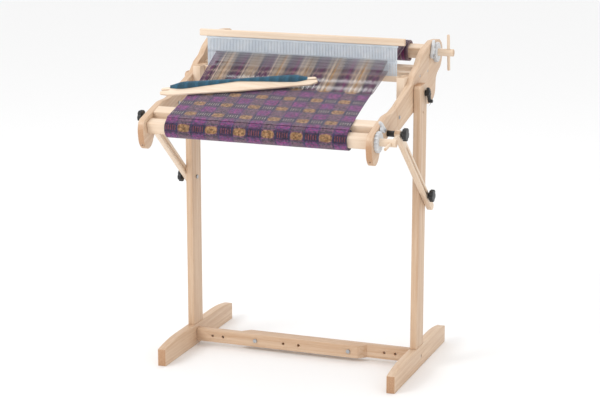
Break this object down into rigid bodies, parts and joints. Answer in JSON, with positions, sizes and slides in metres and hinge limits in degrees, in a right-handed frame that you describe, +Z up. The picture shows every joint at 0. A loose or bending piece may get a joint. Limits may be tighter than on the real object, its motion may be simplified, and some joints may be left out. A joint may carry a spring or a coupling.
{
  "type": "rigid heddle loom",
  "caption": "Floor-standing rigid heddle loom: a tilting wooden loom frame on a two-post trestle stand, with slotted struts, ratchet beams, reed, open warp, cloth and stick shuttle.",
  "frame": {"origin": "on the floor, at the middle of the bounding box", "axes": "+X to the weaver's right along the beams, +Y from the weaver to the back, +Z up"},
  "size_m": [0.884, 0.7622, 1.079],
  "materials": {
    "birch": "sanded birch, clear finish",
    "birch_light": "sanded pale birch, clear finish",
    "black_plastic": "moulded, satin",
    "grey_plastic": "moulded, satin",
    "steel": "zinc plated, dull",
    "reed_plastic": "moulded, slightly translucent",
    "cloth": "plain weave of wool and cotton",
    "warp_yarn": "stretched yarn",
    "shuttle_yarn": "wound wool yarn"
  },
  "bodies": {
    "stand": {"foot_left": "birch", "foot_right": "birch", "post_left": "birch", "post_right": "birch", "brace_front": "birch", "brace_rear": "birch", "brace_bolts": "steel", "brace_nuts": "steel", "brace_end_screws": "steel", "foot_screws": "steel", "strut_lower_bolts": "steel", "tilt_bolts": "steel"},
    "loom": {"front_side_left": "birch", "front_side_right": "birch", "rear_side_left": "birch", "rear_side_right": "birch", "fold_pins": "steel", "front_board": "birch_light", "middle_board": "birch_light", "rear_board": "birch_light", "board_screws": "steel", "strut_spacers": "black_plastic", "strut_pivot_bolts": "steel", "reed_guide_left": "birch_light", "reed_guide_right": "birch_light", "pawl_screws": "steel", "cloth_web": "cloth", "slot_threads": "warp_yarn", "hole_threads": "warp_yarn"},
    "strut_left": {"strut_left": "birch_light"},
    "strut_right": {"strut_right": "birch_light"},
    "strut_top_knob_left": {"strut_top_knob_left": "black_plastic"},
    "strut_top_knob_right": {"strut_top_knob_right": "black_plastic"},
    "strut_low_knob_left": {"strut_low_knob_left": "black_plastic"},
    "strut_low_knob_right": {"strut_low_knob_right": "black_plastic"},
    "tilt_knob_left": {"tilt_knob_left": "black_plastic"},
    "tilt_knob_right": {"tilt_knob_right": "black_plastic"},
    "cloth_beam": {"cloth_beam": "birch_light", "cloth_ratchet": "grey_plastic", "cloth_handle": "birch_light", "cloth_roll": "cloth"},
    "warp_beam": {"warp_beam": "birch_light", "warp_ratchet": "grey_plastic", "warp_handle": "birch_light", "warp_roll": "warp_yarn"},
    "cloth_pawl": {"cloth_pawl": "grey_plastic"},
    "warp_pawl": {"warp_pawl": "grey_plastic"},
    "reed": {"reed_top_bar": "birch_light", "reed_bottom_bar": "birch_light", "reed_comb": "reed_plastic"},
    "shuttle": {"shuttle": "birch_light", "shuttle_yarn": "shuttle_yarn"}
  },
  "joints": [
    {"name": "loom_tilt", "type": "hinge", "parent": "stand", "child": "loom", "pos_m": [0, 0.1036, 0.905], "axis": [1, 0, 0], "range_deg": [-4, 50]},
    {"name": "strut_left_turn", "type": "hinge", "parent": "loom", "child": "strut_left", "pos_m": [-0.4125, -0.21618, 0.83203], "axis": [1, 0, 0], "range_deg": [-25.5, 2.5]},
    {"name": "strut_right_turn", "type": "hinge", "parent": "loom", "child": "strut_right", "pos_m": [0.4125, -0.21618, 0.83203], "axis": [1, 0, 0], "range_deg": [-25.5, 2.5]},
    {"name": "strut_top_knob_left_turn", "type": "hinge", "parent": "loom", "child": "strut_top_knob_left", "pos_m": [-0.43, -0.21618, 0.83203], "axis": [1, 0, 0], "continuous": true},
    {"name": "strut_top_knob_right_turn", "type": "hinge", "parent": "loom", "child": "strut_top_knob_right", "pos_m": [0.43, -0.21618, 0.83203], "axis": [1, 0, 0], "continuous": true},
    {"name": "strut_low_knob_left_turn", "type": "hinge", "parent": "stand", "child": "strut_low_knob_left", "pos_m": [-0.43, 0.0866, 0.57744], "axis": [1, 0, 0], "continuous": true},
    {"name": "strut_low_knob_right_turn", "type": "hinge", "parent": "stand", "child": "strut_low_knob_right", "pos_m": [0.43, 0.0866, 0.57744], "axis": [1, 0, 0], "continuous": true},
    {"name": "tilt_knob_left_turn", "type": "hinge", "parent": "stand", "child": "tilt_knob_left", "pos_m": [-0.412, 0.1036, 0.905], "axis": [1, 0, 0], "continuous": true},
    {"name": "tilt_knob_right_turn", "type": "hinge", "parent": "stand", "child": "tilt_knob_right", "pos_m": [0.412, 0.1036, 0.905], "axis": [1, 0, 0], "continuous": true},
    {"name": "cloth_beam_turn", "type": "hinge", "parent": "loom", "child": "cloth_beam", "pos_m": [0, -0.32201, 0.82561], "axis": [1, 0, 0], "continuous": true},
    {"name": "warp_beam_turn", "type": "hinge", "parent": "loom", "child": "warp_beam", "pos_m": [0, 0.29182, 1.00683], "axis": [1, 0, 0], "continuous": true},
    {"name": "cloth_pawl_lift", "type": "hinge", "parent": "loom", "child": "cloth_pawl", "pos_m": [0.385, -0.27149, 0.85258], "axis": [1, 0, 0], "range_deg": [-28, 12]},
    {"name": "warp_pawl_lift", "type": "hinge", "parent": "loom", "child": "warp_pawl", "pos_m": [0.385, 0.23468, 1.00293], "axis": [1, 0, 0], "range_deg": [-12, 28]},
    {"name": "reed_slide", "type": "slide", "parent": "loom", "child": "reed", "axis": [0, 0, 1], "range_m": [-0.058, 0.012]},
    {"name": "shuttle_lift", "type": "slide", "parent": "loom", "child": "shuttle", "axis": [0, -0.2861, 0.9582], "range_m": [0, 0.12]}
  ],
  "couplings": [
    {"joint": "strut_left_turn", "follows": "loom_tilt", "ratio": -0.5},
    {"joint": "strut_right_turn", "follows": "loom_tilt", "ratio": -0.5}
  ]
}
